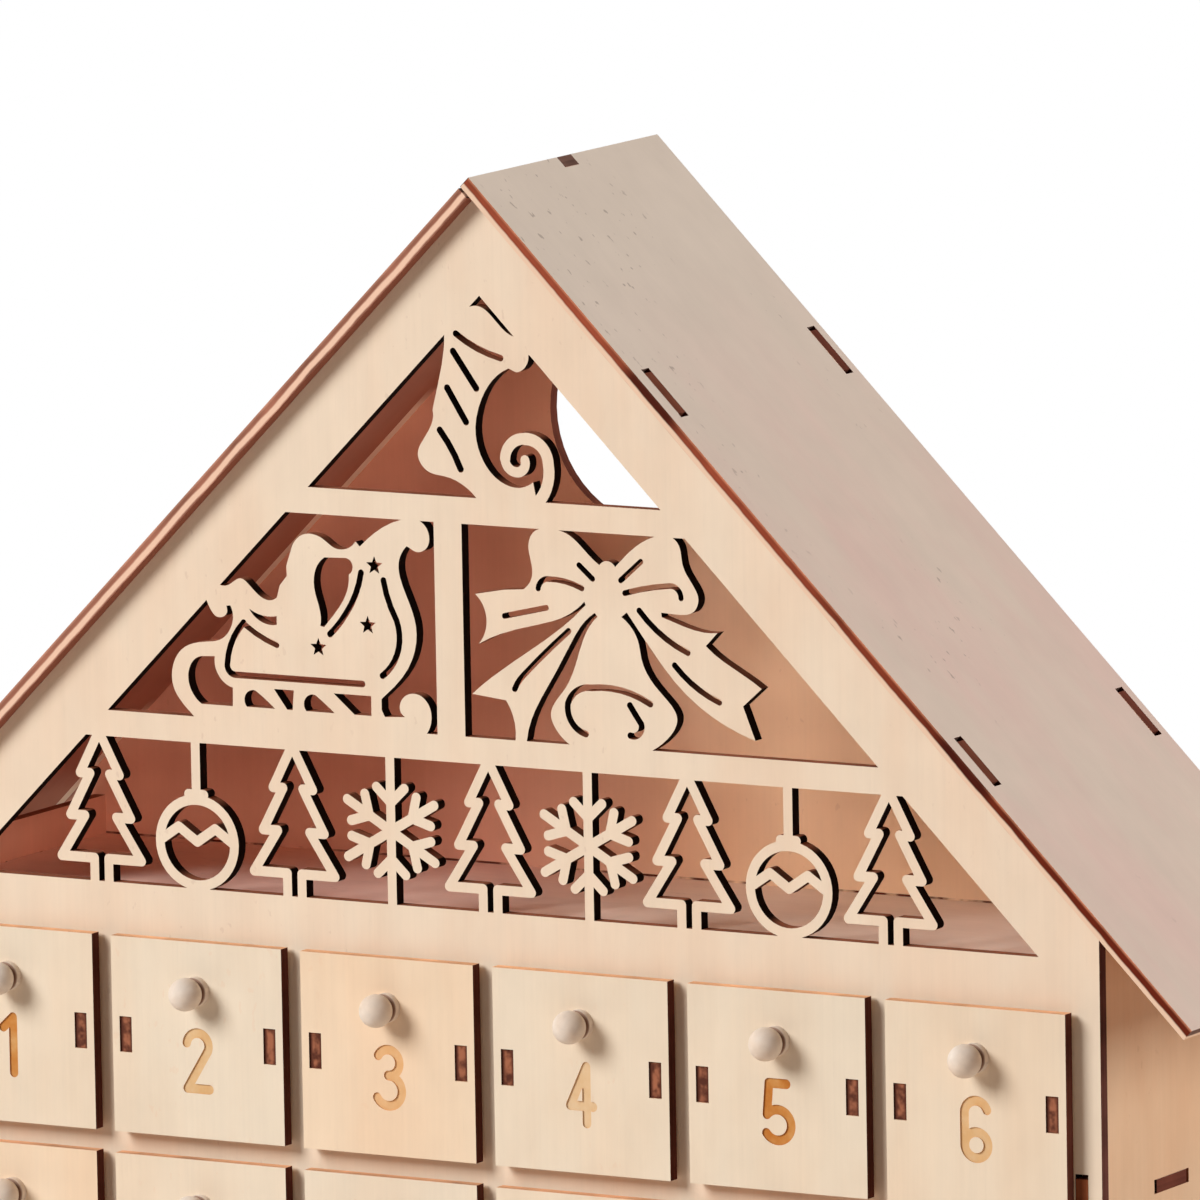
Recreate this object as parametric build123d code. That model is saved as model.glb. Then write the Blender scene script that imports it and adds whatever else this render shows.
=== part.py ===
from build123d import *
import os
from math import cos, radians, sin, sqrt

# House-shaped advent calendar of laser-cut birch ply: a fretwork gable over a grid of numbered drawers.
# Millimetres. +Z is up, the drawers face -Y, and the origin is under the middle of the whole object.

# Sheet and joints
ply = 3.0                     # thickness of every board
joint_gap = 0.1               # play of a tab in its slot, each side
slot_spare = 1.1              # slot beyond each end of a tab of the roof, walls or shelves
tab_length = 14.0             # tabs of the walls and shelves
roof_tab = 12.0               # tabs of the panels in the roof

# Grid of drawers
columns = 6
rows = 4
front_size = 45.0             # square drawer front
front_gap = 5.0               # between two fronts, across and down
side_margin = 6.4             # panel beside the outer fronts
foot_margin = 6.5             # panel below the lowest fronts

# House
body_depth = 78.0             # front face of the front panel to back face of the back panel
wall_inset = 3.5              # panel edge to the outside of the side wall
eave_rise = 19.1              # top fronts to the panel's eave corner; the roof slopes at 45 degrees
wall_gap = 5.8                # open strip between the top of a wall and the roof
attic_rise = 7.8              # top fronts to the top of the attic floor
roof_front_overhang = 3.8
roof_back_overhang = 2.7
eave_overhang = 31.9          # roof beyond the panel's corner, along the slope
roof_tab_from_apex = 62.4     # middle of the upper roof tab, along the panel's slope
roof_tab_from_corner = 45.9   # middle of the lower roof tab, along the panel's slope
ridge_tab = 6.0               # tab of the left roof board that shows in the ridge
ridge_gap = 0.6               # left roof board short of the right one
back_hole_radius = 26.0
back_hole_drop = 59.0         # apex of the back panel to the middle of its round hole

# Windows of the gable
gable_border = 16.0           # square to the slope
sill_rise = 11.5              # top fronts to the lower edge of the frieze
frieze_height = 33.4
gable_bar = 6.0               # bars over the frieze and over the pictures
picture_height = 48.0
post_offset = 9.3             # post between the two pictures, left of the middle
post_width = 7.2

# Heights at which the fretwork is drawn; each drawing is scaled to its window
scroll_drawn = 45.5
picture_drawn = 48.0
frieze_drawn = 33.4
ornament_pitch = 25.5         # ornaments of the frieze
ornament_count = 9
frieze_line = 2.3             # width of the frieze's strokes
frieze_root = 1.0             # how far the frieze's strokes run on into the frame

# Drawers
seat_gap = 1.2                # drawer front to the panel when pushed home
tray_inset = 2.0              # tray inside the edge of its front, each side
tray_lift = 2.5               # front's lower edge to the underside of the tray
tray_drop = 2.5               # front's upper edge to the top of the tray
tray_back_gap = 3.0           # free space behind a closed tray
running_gap = 0.2             # tray over its shelf
side_play = 0.5               # tray in its opening, each side
top_play = 0.8                # tray under the top of its opening
tenon_height = 8.0            # side board's tenon in the front
tenon_recess = 0.4            # tenon's end below the front's face
tray_tab = 12.0               # tabs of the tray's bottom and back

# Turned knob
knob_drop = 11.2              # front's upper edge to the knob's axis
knob_reach = 8.7
knob_head = 7.6
knob_neck = 5.4               # groove between the ball and the collar
knob_collar = 6.8
knob_collar_height = 2.0
knob_collar_round = 0.6       # rounding of the collar's front edge
knob_peg = 4.0
peg_gap = 0.05

# Burnt numbers
number_drop = 27.2            # front's upper edge to the number's middle
number_height = 15.0
digit_width = 8.0
digit_space = 2.0
number_line = 2.2
number_depth = 0.35

# Heights and widths that follow
pitch = front_size + front_gap
tray_height = front_size - tray_lift - tray_drop
panel_half = (columns - 1) * pitch / 2 + front_size / 2 + side_margin
fronts_top = foot_margin + (rows - 1) * pitch + front_size
eave_z = fronts_top + eave_rise
apex_z = eave_z + panel_half
ridge_z = apex_z + ply * sqrt(2)
slope_length = panel_half * sqrt(2)
roof_length = ply + slope_length + eave_overhang
wall_out = panel_half - wall_inset
wall_in = wall_out - ply
attic_z = fronts_top + attic_rise - ply
tray_width = front_size - 2 * tray_inset

# Depths that follow, from the knobs' tips to the back edge of the roof
front_reach = seat_gap + ply + knob_reach
overall_depth = front_reach + body_depth + roof_back_overhang
panel_y = front_reach - overall_depth / 2
inner_y = panel_y + ply
back_y = panel_y + body_depth - ply
middle_y = (inner_y + back_y) / 2
roof_y = panel_y - roof_front_overhang
roof_depth = roof_front_overhang + body_depth + roof_back_overhang
face_y = panel_y - seat_gap - ply
tray_end_y = back_y - tray_back_gap


def column_x(column):
    return (column - (columns - 1) / 2) * pitch


def front_z(row):
    """Lower edge of the fronts in a row, counted from the top."""
    return foot_margin + (rows - 1 - row) * pitch


def shelf_z(row):
    """Underside of the board that carries a row of drawers."""
    return front_z(row) + tray_lift - running_gap - ply


shelf_rows = range(rows - 1)
divider_xs = [column_x(column) + pitch / 2 for column in range(columns - 1)]
carrier_zs = [shelf_z(row) for row in range(rows)] + [attic_z]


def rect(x0, y0, x1, y1):
    return Pos((x0 + x1) / 2, (y0 + y1) / 2) * Rectangle(x1 - x0, y1 - y0)


def upright_board(sketch, y):
    """Board across the house, drawn as x and z, with its front face at y."""
    plane = Plane(origin=(0, y + ply, 0), x_dir=(1, 0, 0), z_dir=(0, -1, 0))
    return extrude(plane * sketch, amount=ply)


def side_board(sketch, x):
    """Board along the house, drawn as y and z, with its left face at x."""
    plane = Plane(origin=(x, 0, 0), x_dir=(0, 1, 0), z_dir=(1, 0, 0))
    return extrude(plane * sketch, amount=ply)


def level_board(sketch, z):
    """Board lying flat, drawn as x and y, with its underside at z."""
    return extrude(Plane.XY.offset(z) * sketch, amount=ply)


def path(points):
    """Line, arc or smooth curve through two, three or more points."""
    if len(points) == 2:
        return Line(*points)
    if len(points) == 3:
        return ThreePointArc(*points)
    return Spline(*points)


def region(start, *runs):
    """Face inside a chain of runs, closed by a straight line where it doesn't come back."""
    edges = []
    here = start
    for run in runs:
        edges.append(path([here, *run]))
        here = run[-1]
    if here != start:
        edges.append(Line(here, start))
    return make_face(edges)


def join(sketches):
    return Sketch() + list(sketches)


def stroke(width, *points):
    """Round-ended slot along a line, or along arcs given as end, middle, end, middle, end."""
    if len(points) == 2:
        return SlotArc(Line(*points), width)
    starts = range(0, len(points) - 2, 2)
    return join(SlotArc(ThreePointArc(*points[k:k + 3]), width) for k in starts)


def star(x, y, outer, inner):
    tips = [(outer if k % 2 == 0 else inner, radians(90 + 36 * k)) for k in range(10)]
    return make_face(Polyline([(x + r * cos(a), y + r * sin(a)) for r, a in tips], close=True))


# Fretwork. Each drawing is in x from the middle of the house and height above its window's lower edge.


def scroll_wood():
    """Striped cane that leans on the gable and ends in a curl."""
    cane = region(
        (-12.0, 39.2),
        [(-3.4, 42.5)],
        [(0.8, 42.8), (3.6, 40.6), (9.5, 36.7)],
        [(14.5, 33.2)],
        [(12.4, 32.8)],
        [(11.6, 30.2), (9.2, 28.8)],
        [(7.2, 29.6)],
        [(3.0, 26.7), (-0.3, 21.4), (-1.6, 15.2), (-0.4, 9.8), (3.2, 5.0), (8.5, 2.9), (13.0, 4.4)],
        [(14.2, -1.5)],
        [(-0.6, -1.5)],
        [(-4.2, 2.2), (-9.5, 4.4), (-14.2, 5.4), (-16.6, 8.8), (-14.6, 13.2), (-12.6, 19.2)],
        [(-11.1, 25.0), (-9.8, 30.4), (-9.2, 36.6)],
    )
    curl = [
        stroke(2.8, (12.8, -1.2), (16.4, 3.2), (17.0, 8.6)),
        stroke(2.8, (17.0, 8.6), (15.4, 12.4), (11.2, 14.0)),
        stroke(2.6, (11.2, 14.0), (7.4, 12.6), (5.9, 9.3)),
        stroke(2.3, (5.9, 9.3), (6.8, 7.2), (8.9, 6.4)),
        stroke(2.3, (8.9, 6.4), (10.7, 7.3), (11.0, 9.2)),
    ]
    return join([cane, *curl])


def scroll_slots():
    return join([
        stroke(1.5, (-6.2, 36.7), (-1.5, 34.0), (5.2, 31.8)),
        stroke(1.6, (-7.0, 32.7), (-1.2, 24.7)),
        stroke(1.6, (-8.7, 24.4), (-4.0, 17.0)),
        stroke(1.6, (-10.8, 14.8), (-7.8, 10.6), (-5.6, 6.3)),
    ])


def sleigh_cuts():
    """Sleigh on curled runners with a starred sack: what is cut away around it and inside it."""
    ahead = region(
        (-110.0, -4.0),
        [(-78.0, 34.0)],
        [(-72.9, 27.4)],
        [(-71.7, 24.8), (-69.8, 23.1), (-67.9, 23.5), (-67.5, 25.8)],
        [(-66.4, 25.9)],
        [(-65.9, 22.3), (-68.5, 18.4), (-75.0, 17.0), (-79.5, 15.1), (-82.0, 10.8), (-81.8, 6.3),
         (-79.0, 2.3), (-75.5, -1.0)],
    )
    above = region(
        (-69.2, 30.5),
        [(-80.0, 50.0)],
        [(-21.3, 52.0)],
        [(-21.3, 48.0)],
        [(-25.0, 46.6), (-28.0, 44.8), (-32.2, 41.3)],
        [(-33.3, 42.4)],
        [(-36.0, 40.5), (-38.5, 40.5), (-42.0, 42.6), (-44.5, 43.4), (-49.8, 40.6)],
        [(-51.5, 35.8)],
        [(-51.4, 33.5)],
        [(-53.3, 31.3)],
        [(-54.1, 28.5)],
        [(-56.0, 27.7), (-59.0, 28.8), (-64.0, 32.2), (-66.5, 30.7), (-69.2, 30.5)],
    )
    behind = region(
        (-17.2, 49.0),
        [(-8.0, 49.0)],
        [(-8.0, -3.0)],
        [(-16.8, -1.0)],
        [(-14.5, 2.6), (-14.8, 6.0), (-16.8, 8.3), (-19.5, 8.8), (-22.0, 7.3), (-22.6, 5.3), (-21.2, 3.4)],
        [(-26.5, 3.1)],
        [(-27.3, 4.6)],
        [(-27.3, 7.1)],
        [(-24.0, 10.0), (-21.0, 13.3), (-18.0, 20.3), (-18.0, 24.3), (-20.5, 31.3), (-22.2, 37.3),
         (-20.0, 42.1)],
        [(-18.6, 41.4)],
        [(-16.5, 41.0), (-14.6, 42.3), (-14.1, 44.6), (-15.0, 46.8), (-17.2, 48.2)],
    )
    load_gap = region(
        (-41.5, 38.3),
        [(-36.0, 38.5)],
        [(-34.6, 37.8), (-35.2, 34.8)],
        [(-36.5, 29.3), (-39.0, 25.8), (-41.9, 22.5)],
        [(-42.9, 22.7)],
        [(-43.2, 27.3), (-44.3, 31.3), (-44.2, 34.3), (-41.5, 38.3)],
    )
    rein_gap = region(
        (-61.5, 25.5),
        [(-57.8, 24.1), (-54.3, 24.2)],
        [(-54.3, 22.2)],
        [(-57.6, 22.4), (-61.5, 25.5)],
    )
    runner_gap = region(
        (-74.5, 3.0),
        [(-77.2, 6.0), (-77.9, 9.4), (-76.8, 12.4), (-74.3, 13.9)],
        [(-70.8, 14.1)],
        [(-69.7, 9.5), (-66.2, 7.2)],
        [(-66.3, 3.0)],
    )
    leaf = region((-62.6, 3.1), [(-62.9, 5.8), (-60.2, 6.9)], [(-57.8, 5.2), (-55.2, 3.1)])
    struts = [
        leaf,
        Pos(15.6, 0) * leaf,
        region((-55.4, 7.6), [(-50.2, 7.6)], [(-50.6, 3.1)], [(-52.0, 3.1)]),
        region((-39.8, 7.6), [(-30.0, 7.6)], [(-30.0, 3.1)], [(-34.4, 3.1)]),
    ]
    lines = [
        stroke(1.5, (-32.0, 35.4), (-33.6, 30.2), (-36.2, 25.8), (-38.2, 23.2), (-40.4, 21.0)),
        stroke(1.5, (-26.2, 34.0), (-24.9, 29.2), (-23.0, 25.2), (-22.5, 19.2), (-26.9, 12.4)),
        stroke(1.5, (-63.0, 22.2), (-66.4, 17.2), (-67.5, 12.6), (-67.0, 10.9), (-65.4, 10.2)),
        stroke(1.5, (-65.4, 10.2), (-32.2, 10.2)),
        stroke(1.3, (-63.0, 22.0), (-58.8, 19.4), (-54.4, 17.6)),
    ]
    stars = [star(x, y, 2.2, 0.95) for x, y in ((-28.5, 37.2), (-30.5, 23.6), (-43.5, 17.8))]
    return join([ahead, above, behind, load_gap, rein_gap, runner_gap, *struts, *lines, *stars])


def bell_cuts():
    """Bell under a bow with two pairs of ribbon tails: what is cut away around it and inside it."""
    left = region(
        (-12.0, 50.0),
        [(14.7, 50.0)],
        [(14.5, 48.0)],
        [(12.4, 46.7), (11.5, 44.3), (12.0, 40.8), (10.0, 34.2)],
        [(5.0, 33.8)],
        [(-2.5, 32.4)],
        [(0.3, 27.4), (-1.8, 21.2)],
        [(4.5, 24.0), (12.0, 26.1), (18.6, 27.9), (25.6, 32.4)],
        [(25.9, 31.6)],
        [(20.6, 26.9), (10.0, 19.6), (-3.7, 9.8)],
        [(5.0, 8.9)],
        [(6.4, 6.4), (7.0, -1.5)],
        [(-12.0, -1.5)],
    )
    under = region(
        (10.0, -1.5),
        [(12.2, 6.6), (16.8, 14.2), (21.6, 22.2), (24.6, 26.8), (28.2, 30.0)],
        [(28.9, 29.2)],
        [(26.0, 25.6), (24.2, 21.4), (22.4, 16.3), (20.2, 12.4), (16.5, 6.3), (17.6, 3.4), (25.5, -1.0)],
        [(25.5, -3.0)],
        [(10.0, -3.0)],
    )
    top = region(
        (19.0, 49.0),
        [(19.2, 48.0)],
        [(23.0, 46.4), (26.6, 43.2), (29.6, 40.8)],
        [(31.6, 41.8), (33.6, 40.6)],
        [(36.0, 43.0), (40.0, 46.2), (44.6, 48.2)],
        [(44.8, 49.0)],
    )
    right = region(
        (48.0, 49.0),
        [(48.2, 48.1)],
        [(50.2, 45.8), (50.8, 42.3), (53.0, 38.2), (54.7, 34.6), (53.6, 31.9), (50.4, 30.9), (45.2, 31.1)],
        [(45.3, 30.1)],
        [(50.0, 28.6), (55.0, 27.4), (59.4, 27.4)],
        [(56.4, 24.3)],
        [(60.0, 21.6), (65.0, 18.8), (70.4, 15.6)],
        [(65.6, 11.4)],
        [(68.6, 3.9)],
        [(58.0, 8.4), (51.0, 13.3), (41.9, 23.4), (36.4, 30.6)],
        [(35.0, 29.5)],
        [(37.4, 27.4), (39.2, 24.2), (39.9, 20.6), (44.2, 13.6), (48.8, 7.6), (45.2, 1.9), (36.0, -1.0)],
        [(36.0, -3.0)],
        [(110.0, -3.0)],
        [(110.0, 49.0)],
    )
    folds = [
        stroke(1.4, (21.4, 25.5), (15.2, 20.1), (9.6, 14.8), (8.2, 13.2), (7.3, 11.6)),
        stroke(1.3, (5.0, 27.9), (15.8, 30.4)),
        stroke(1.3, (13.8, 34.6), (14.6, 36.2), (16.4, 36.9), (20.8, 36.6), (25.0, 35.3)),
        stroke(1.3, (24.4, 40.5), (27.8, 37.6)),
        stroke(1.3, (35.0, 37.7), (40.2, 42.2)),
        stroke(1.3, (36.0, 34.9), (42.0, 36.4), (47.4, 37.2), (49.6, 36.4), (50.3, 34.6)),
        stroke(1.4, (39.6, 31.2), (45.0, 26.2), (51.8, 22.5)),
        stroke(1.4, (48.4, 19.5), (53.0, 15.4), (59.6, 11.9)),
    ]
    mouth = stroke(
        1.5, (25.4, 2.6), (21.6, 5.4), (20.9, 9.2), (23.0, 12.0), (27.0, 13.1), (34.6, 13.0), (42.0, 10.4))
    clapper = stroke(1.5, (36.8, 9.8), (38.3, 7.6), (39.6, 5.8), (39.2, 3.7), (36.8, 3.0))
    return join([left, under, top, right, *folds, mouth, clapper])


def fir():
    """Fir in outline, from sill to bar."""
    edge = [(0, frieze_drawn + frieze_root), (5.2, 24.6), (2.6, 24.6), (8.0, 14.8), (4.2, 14.8), (10.6, 5.2),
            (1.9, 5.2), (1.9, -frieze_root)]
    half = join(stroke(frieze_line, a, b) for a, b in zip(edge, edge[1:]))
    return half + mirror(half, Plane.YZ)


def snowflake():
    middle = frieze_drawn / 2
    arm = [
        stroke(frieze_line, (0, 0), (0, 13.0)),
        stroke(frieze_line, (0, 6.4), (3.6, 9.8)),
        stroke(frieze_line, (0, 6.4), (-3.6, 9.8)),
    ]
    arms = [Rot(0, 0, 60 * k) * line for k in range(6) for line in arm]
    stem = stroke(frieze_line, (0, -frieze_root), (0, frieze_drawn + frieze_root))
    return (Pos(0, middle) * join(arms)) + stem


def bauble():
    """Glass ball on its string, with a zigzag band."""
    radius = 9.8
    foot = 0.4
    middle = radius + frieze_line / 2 - foot
    band = [(-9.6, 0.2), (-4.8, 3.4), (0, 0.2), (4.8, 3.4), (9.6, 0.2)]
    lines = [
        Circle(radius + frieze_line / 2) - Circle(radius - frieze_line / 2),
        stroke(frieze_line, (-2.0, radius + 1.2), (2.0, radius + 1.2)),
        stroke(frieze_line, (0, radius), (0, frieze_drawn + frieze_root - middle)),
        *[stroke(frieze_line, a, b) for a, b in zip(band, band[1:])],
    ]
    return Pos(0, middle) * join(lines)


def frieze_wood():
    """Firs with a snowflake or a bauble between them."""
    middle = (ornament_count - 1) // 2
    figures = {0: fir(), 1: snowflake(), 3: bauble()}
    size = frieze_height / frieze_drawn
    ornaments = []
    for place in range(ornament_count):
        figure = figures[0 if (place - middle) % 2 == 0 else abs(place - middle) % 4]
        ornaments.append(Pos((place - middle) * ornament_pitch, 0) * scale(figure, by=size))
    return join(ornaments)


def gable_windows():
    """Everything that is cut out of the gable, as x and z."""
    inner_apex = apex_z - gable_border * sqrt(2)
    frieze_z = fronts_top + sill_rise
    picture_z = frieze_z + frieze_height + gable_bar
    scroll_z = picture_z + picture_height + gable_bar
    post_left = -post_offset - post_width / 2
    post_right = post_left + post_width
    half = inner_apex - frieze_z
    inside = make_face(Polyline([(-half, frieze_z), (half, frieze_z), (0, inner_apex)], close=True))

    def window(z0, z1, x0=-panel_half, x1=panel_half):
        return inside & rect(x0, z0, x1, z1)

    def drawn(sketch, z, size):
        return Pos(0, z) * scale(sketch, by=size)

    picture_size = picture_height / picture_drawn
    scroll_size = (inner_apex - scroll_z) / scroll_drawn
    picture_top = picture_z + picture_height
    scroll = window(scroll_z, inner_apex) - drawn(scroll_wood(), scroll_z, scroll_size)
    return [
        window(frieze_z, frieze_z + frieze_height) - Pos(0, frieze_z) * frieze_wood(),
        window(picture_z, picture_top, x1=post_left) & drawn(sleigh_cuts(), picture_z, picture_size),
        window(picture_z, picture_top, x0=post_right) & drawn(bell_cuts(), picture_z, picture_size),
        scroll + drawn(scroll_slots(), scroll_z, scroll_size),
    ]


# Boards of the house


def slope_places():
    """Middle of each roof tab along a slope, measured from the ridge on the roof's upper face."""
    return [ply + roof_tab_from_apex, ply + slope_length - roof_tab_from_corner]


def house_outline():
    """Panel with its roof tabs and the slots for the walls' tabs, as x and z."""
    corners = [(-panel_half, 0), (panel_half, 0), (panel_half, eave_z), (0, apex_z), (-panel_half, eave_z)]
    outline = make_face(Polyline(corners, close=True))
    for side in (-1, 1):
        slope = Pos(0, ridge_z) * Rot(0, 0, -45 if side > 0 else -135)
        for place in slope_places():
            outline += slope * Pos(place, -side * ply) * Rectangle(roof_tab, 2 * ply)
        slot_x = side * (wall_in + wall_out) / 2
        for row in shelf_rows:
            slot = Rectangle(ply + 2 * joint_gap, tab_length + 2 * slot_spare)
            outline -= Pos(slot_x, shelf_z(row) + ply / 2) * slot
    return outline


def front_panel():
    openings = []
    half = tray_width / 2 + side_play
    for row in range(rows):
        low = shelf_z(row) + ply
        high = front_z(row) + tray_lift + tray_height + top_play
        openings += [rect(column_x(c) - half, low, column_x(c) + half, high) for c in range(columns)]
    sketch = house_outline() - openings
    for window in gable_windows():
        sketch -= window
    return upright_board(sketch, panel_y)


def back_panel():
    hole = Pos(0, apex_z - back_hole_drop) * Circle(back_hole_radius)
    return upright_board(house_outline() - hole, back_y)


def wall(side):
    """Side wall with tabs into the panels and slots for the shelves; it stops short of the roof."""
    top = apex_z - wall_out - wall_gap
    sketch = rect(inner_y, 0, back_y, top)
    for row in shelf_rows:
        middle = shelf_z(row) + ply / 2
        sketch += rect(inner_y - ply, middle - tab_length / 2, back_y + ply, middle + tab_length / 2)
    for z in carrier_zs:
        slot = Rectangle(tab_length + 2 * slot_spare, ply + 2 * joint_gap)
        sketch -= Pos(middle_y, z + ply / 2) * slot
    return side_board(sketch, wall_in if side > 0 else -wall_out)


def carrier_outline():
    """Board from wall to wall with a tab through each, as x and y."""
    board = rect(-wall_in, inner_y, wall_in, back_y)
    return board + Pos(0, middle_y) * Rectangle(2 * wall_out, tab_length)


def shelf(row):
    """Shelf with slots from behind, which the dividers slide into."""
    sketch = carrier_outline()
    for x in divider_xs:
        half = ply / 2 + joint_gap
        sketch -= rect(x - half, middle_y - joint_gap, x + half, back_y)
    return level_board(sketch, shelf_z(row))


def divider(x):
    """Upright between two columns, with slots from the front for the shelves."""
    sketch = rect(inner_y, carrier_zs[rows - 1] + ply, back_y, attic_z)
    for row in shelf_rows:
        z = shelf_z(row)
        sketch -= rect(inner_y, z - joint_gap, middle_y + joint_gap, z + ply + joint_gap)
    return side_board(sketch, x - ply / 2)


def roof_board(side):
    """Roof board; the right one runs to the ridge and the left one butts under it with a tab."""
    down = Vector(side, 0, -1).normalized()
    out = Vector(side, 0, 1).normalized()
    plane = Plane(origin=(0, 0, ridge_z), x_dir=down, z_dir=out)
    depth_sign = plane.y_dir.Y
    near, far = sorted((depth_sign * roof_y, depth_sign * (roof_y + roof_depth)))
    middle = depth_sign * (roof_y + roof_depth / 2)
    if side > 0:
        half = ridge_tab / 2 + joint_gap
        sketch = rect(0, near, roof_length, far) - rect(0, middle - half, ply + joint_gap, middle + half)
    else:
        half = ridge_tab / 2
        board = rect(ply + ridge_gap, near, roof_length, far)
        sketch = board + rect(0, middle - half, 2 * ply, middle + half)
    slot = Rectangle(roof_tab + 2 * slot_spare, ply + 2 * joint_gap)
    for place in slope_places():
        for y in (panel_y + ply / 2, back_y + ply / 2):
            sketch -= Pos(place, depth_sign * y) * slot
    return extrude(plane * sketch, amount=-ply)


# Drawers, modelled about the middle of the front's lower edge


def digit(value):
    """Strokes of a digit about its own middle."""
    a = (digit_width - number_line) / 2
    b = (number_height - number_line) / 2
    # the upper bowl of a 3 or an 8 is a little smaller than the lower one
    upper, lower = 0.46 * b, 0.54 * b

    def arc(y, radius, start, size):
        return CenterArc((0, y), radius, start, size)

    def ring(y, radius):
        return [arc(y, radius, 0, 180), arc(y, radius, 180, 180)]

    six = [*ring(a - b, a), Line((-a, a - b), (-a, b - a)), arc(b - a, a, 20, 160)]
    bowl = arc(lower - b, lower, -145, 285)
    hook = arc(b - a, a, -20, 190)
    paths = {
        0: [arc(b - a, a, 0, 180), arc(a - b, a, 180, 180), Line((-a, a - b), (-a, b - a)),
            Line((a, a - b), (a, b - a))],
        1: [Line((0.3 * a, b), (0.3 * a, -b)), Line((0.3 * a, b), (-0.6 * a, 0.62 * b))],
        2: [hook, Line(hook @ 0, (-a, -b)), Line((-a, -b), (a, -b))],
        3: [arc(b - upper, upper, -90, 240), arc(lower - b, lower, -150, 240)],
        4: [Line((0.45 * a, b), (-a, -0.4 * b)), Line((-a, -0.4 * b), (a, -0.4 * b)),
            Line((0.45 * a, b), (0.45 * a, -b))],
        5: [Line((-0.7 * a, b), (0.8 * a, b)), Line((-0.7 * a, b), bowl @ 1), bowl],
        6: six,
        7: [Line((-a, b), (a, b)), Line((a, b), (-0.35 * a, -b))],
        8: [*ring(b - upper, upper), *ring(lower - b, lower)],
        9: [Rot(0, 0, 180) * edge for edge in six],
    }
    return join(SlotArc(edge, number_line) for edge in paths[value])


def number_sketch(number):
    digits = [int(character) for character in str(number)]
    step = digit_width + digit_space
    start = -(len(digits) - 1) * step / 2
    figure = join(Pos(start + k * step, 0) * digit(value) for k, value in enumerate(digits))
    return Pos(0, front_size - number_drop) * figure


def blank_front():
    sketch = rect(-front_size / 2, 0, front_size / 2, front_size)
    slot = Rectangle(ply + 2 * joint_gap, tenon_height + 2 * joint_gap)
    for side in (-1, 1):
        sketch -= Pos(side * (tray_width - ply) / 2, tray_lift + tray_height / 2) * slot
    sketch -= Pos(0, front_size - knob_drop) * Circle(knob_peg / 2 + peg_gap)
    return upright_board(sketch, face_y)


def tray_boards():
    """Two sides with tenons, a bottom and a back, tabbed together."""
    start = face_y + ply
    low = tray_lift
    middle_z = low + tray_height / 2
    inner = tray_width / 2 - ply
    floor_y = (start + tray_end_y) / 2
    side_sketch = rect(start, low, tray_end_y, low + tray_height)
    tenon_y = face_y + tenon_recess
    side_sketch += rect(tenon_y, middle_z - tenon_height / 2, start + ply, middle_z + tenon_height / 2)
    floor_slot = Rectangle(tray_tab + 2 * joint_gap, ply + 2 * joint_gap)
    back_slot = Rectangle(ply + 2 * joint_gap, tray_tab + 2 * joint_gap)
    side_sketch -= Pos(floor_y, low + ply + ply / 2) * floor_slot
    side_sketch -= Pos(tray_end_y - ply - ply / 2, middle_z) * back_slot
    floor = rect(-inner, start, inner, tray_end_y) + Pos(0, floor_y) * Rectangle(tray_width, tray_tab)
    back = rect(-inner, low + 2 * ply, inner, low + tray_height)
    back += Pos(0, middle_z) * Rectangle(tray_width, tray_tab)
    return [
        side_board(side_sketch, -tray_width / 2),
        side_board(side_sketch, inner),
        level_board(floor, low + ply),
        upright_board(back, tray_end_y - 2 * ply),
    ]


def knob():
    """Turned knob: peg, rounded collar, groove and ball head, on the drawer's axis towards -Y."""
    head = knob_head / 2
    neck = knob_neck / 2
    collar = knob_collar / 2
    edge = knob_collar_round
    ball = knob_reach - head
    throat = ball - sqrt(head ** 2 - neck ** 2)
    profile = make_face([
        Line((0, ply), (knob_peg / 2, ply)),
        Line((knob_peg / 2, ply), (knob_peg / 2, 0)),
        Line((knob_peg / 2, 0), (collar, 0)),
        Line((collar, 0), (collar, edge - knob_collar_height)),
        CenterArc((collar - edge, edge - knob_collar_height), edge, 0, -90),
        Line((collar - edge, -knob_collar_height), (neck, -knob_collar_height)),
        Line((neck, -knob_collar_height), (neck, -throat)),
        ThreePointArc((neck, -throat), (head, -ball), (0, -knob_reach)),
        Line((0, -knob_reach), (0, ply)),
    ])
    return Pos(0, face_y, front_size - knob_drop) * revolve(profile, Axis.Y)


def drawer_nodes():
    """Each drawer's box, as five boards, and its knob."""
    front = blank_front()
    boards = tray_boards()
    handle = knob()
    nodes = {}
    for row in range(rows):
        for column in range(columns):
            number = row * columns + column + 1
            burn = upright_board(number_sketch(number), face_y + number_depth - ply)
            place = Pos(column_x(column), 0, front_z(row))
            solids = [place * solid for solid in (front - burn, *boards)]
            nodes[f"drawer_{number:02d}_box"] = Compound(solids)
            nodes[f"drawer_{number:02d}_knob"] = place * handle
    return nodes


def house_nodes():
    nodes = {
        "front_panel": front_panel(),
        "back_panel": back_panel(),
        "left_wall": wall(-1),
        "right_wall": wall(1),
        "left_roof": roof_board(-1),
        "right_roof": roof_board(1),
        "base_panel": level_board(carrier_outline(), shelf_z(rows - 1)),
        "attic_floor": level_board(carrier_outline(), attic_z),
        "dividers": Compound([divider(x) for x in divider_xs]),
    }
    for row in shelf_rows:
        nodes[f"shelf_{row + 1}"] = shelf(row)
    return nodes


os.makedirs("parts", exist_ok=True)
for name, shape in {**house_nodes(), **drawer_nodes()}.items():
    export_step(shape, f"parts/{name}.step")
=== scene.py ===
from math import cos, pi, radians, sin, sqrt

import bmesh
import bpy
from mathutils import Matrix, Vector


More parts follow.
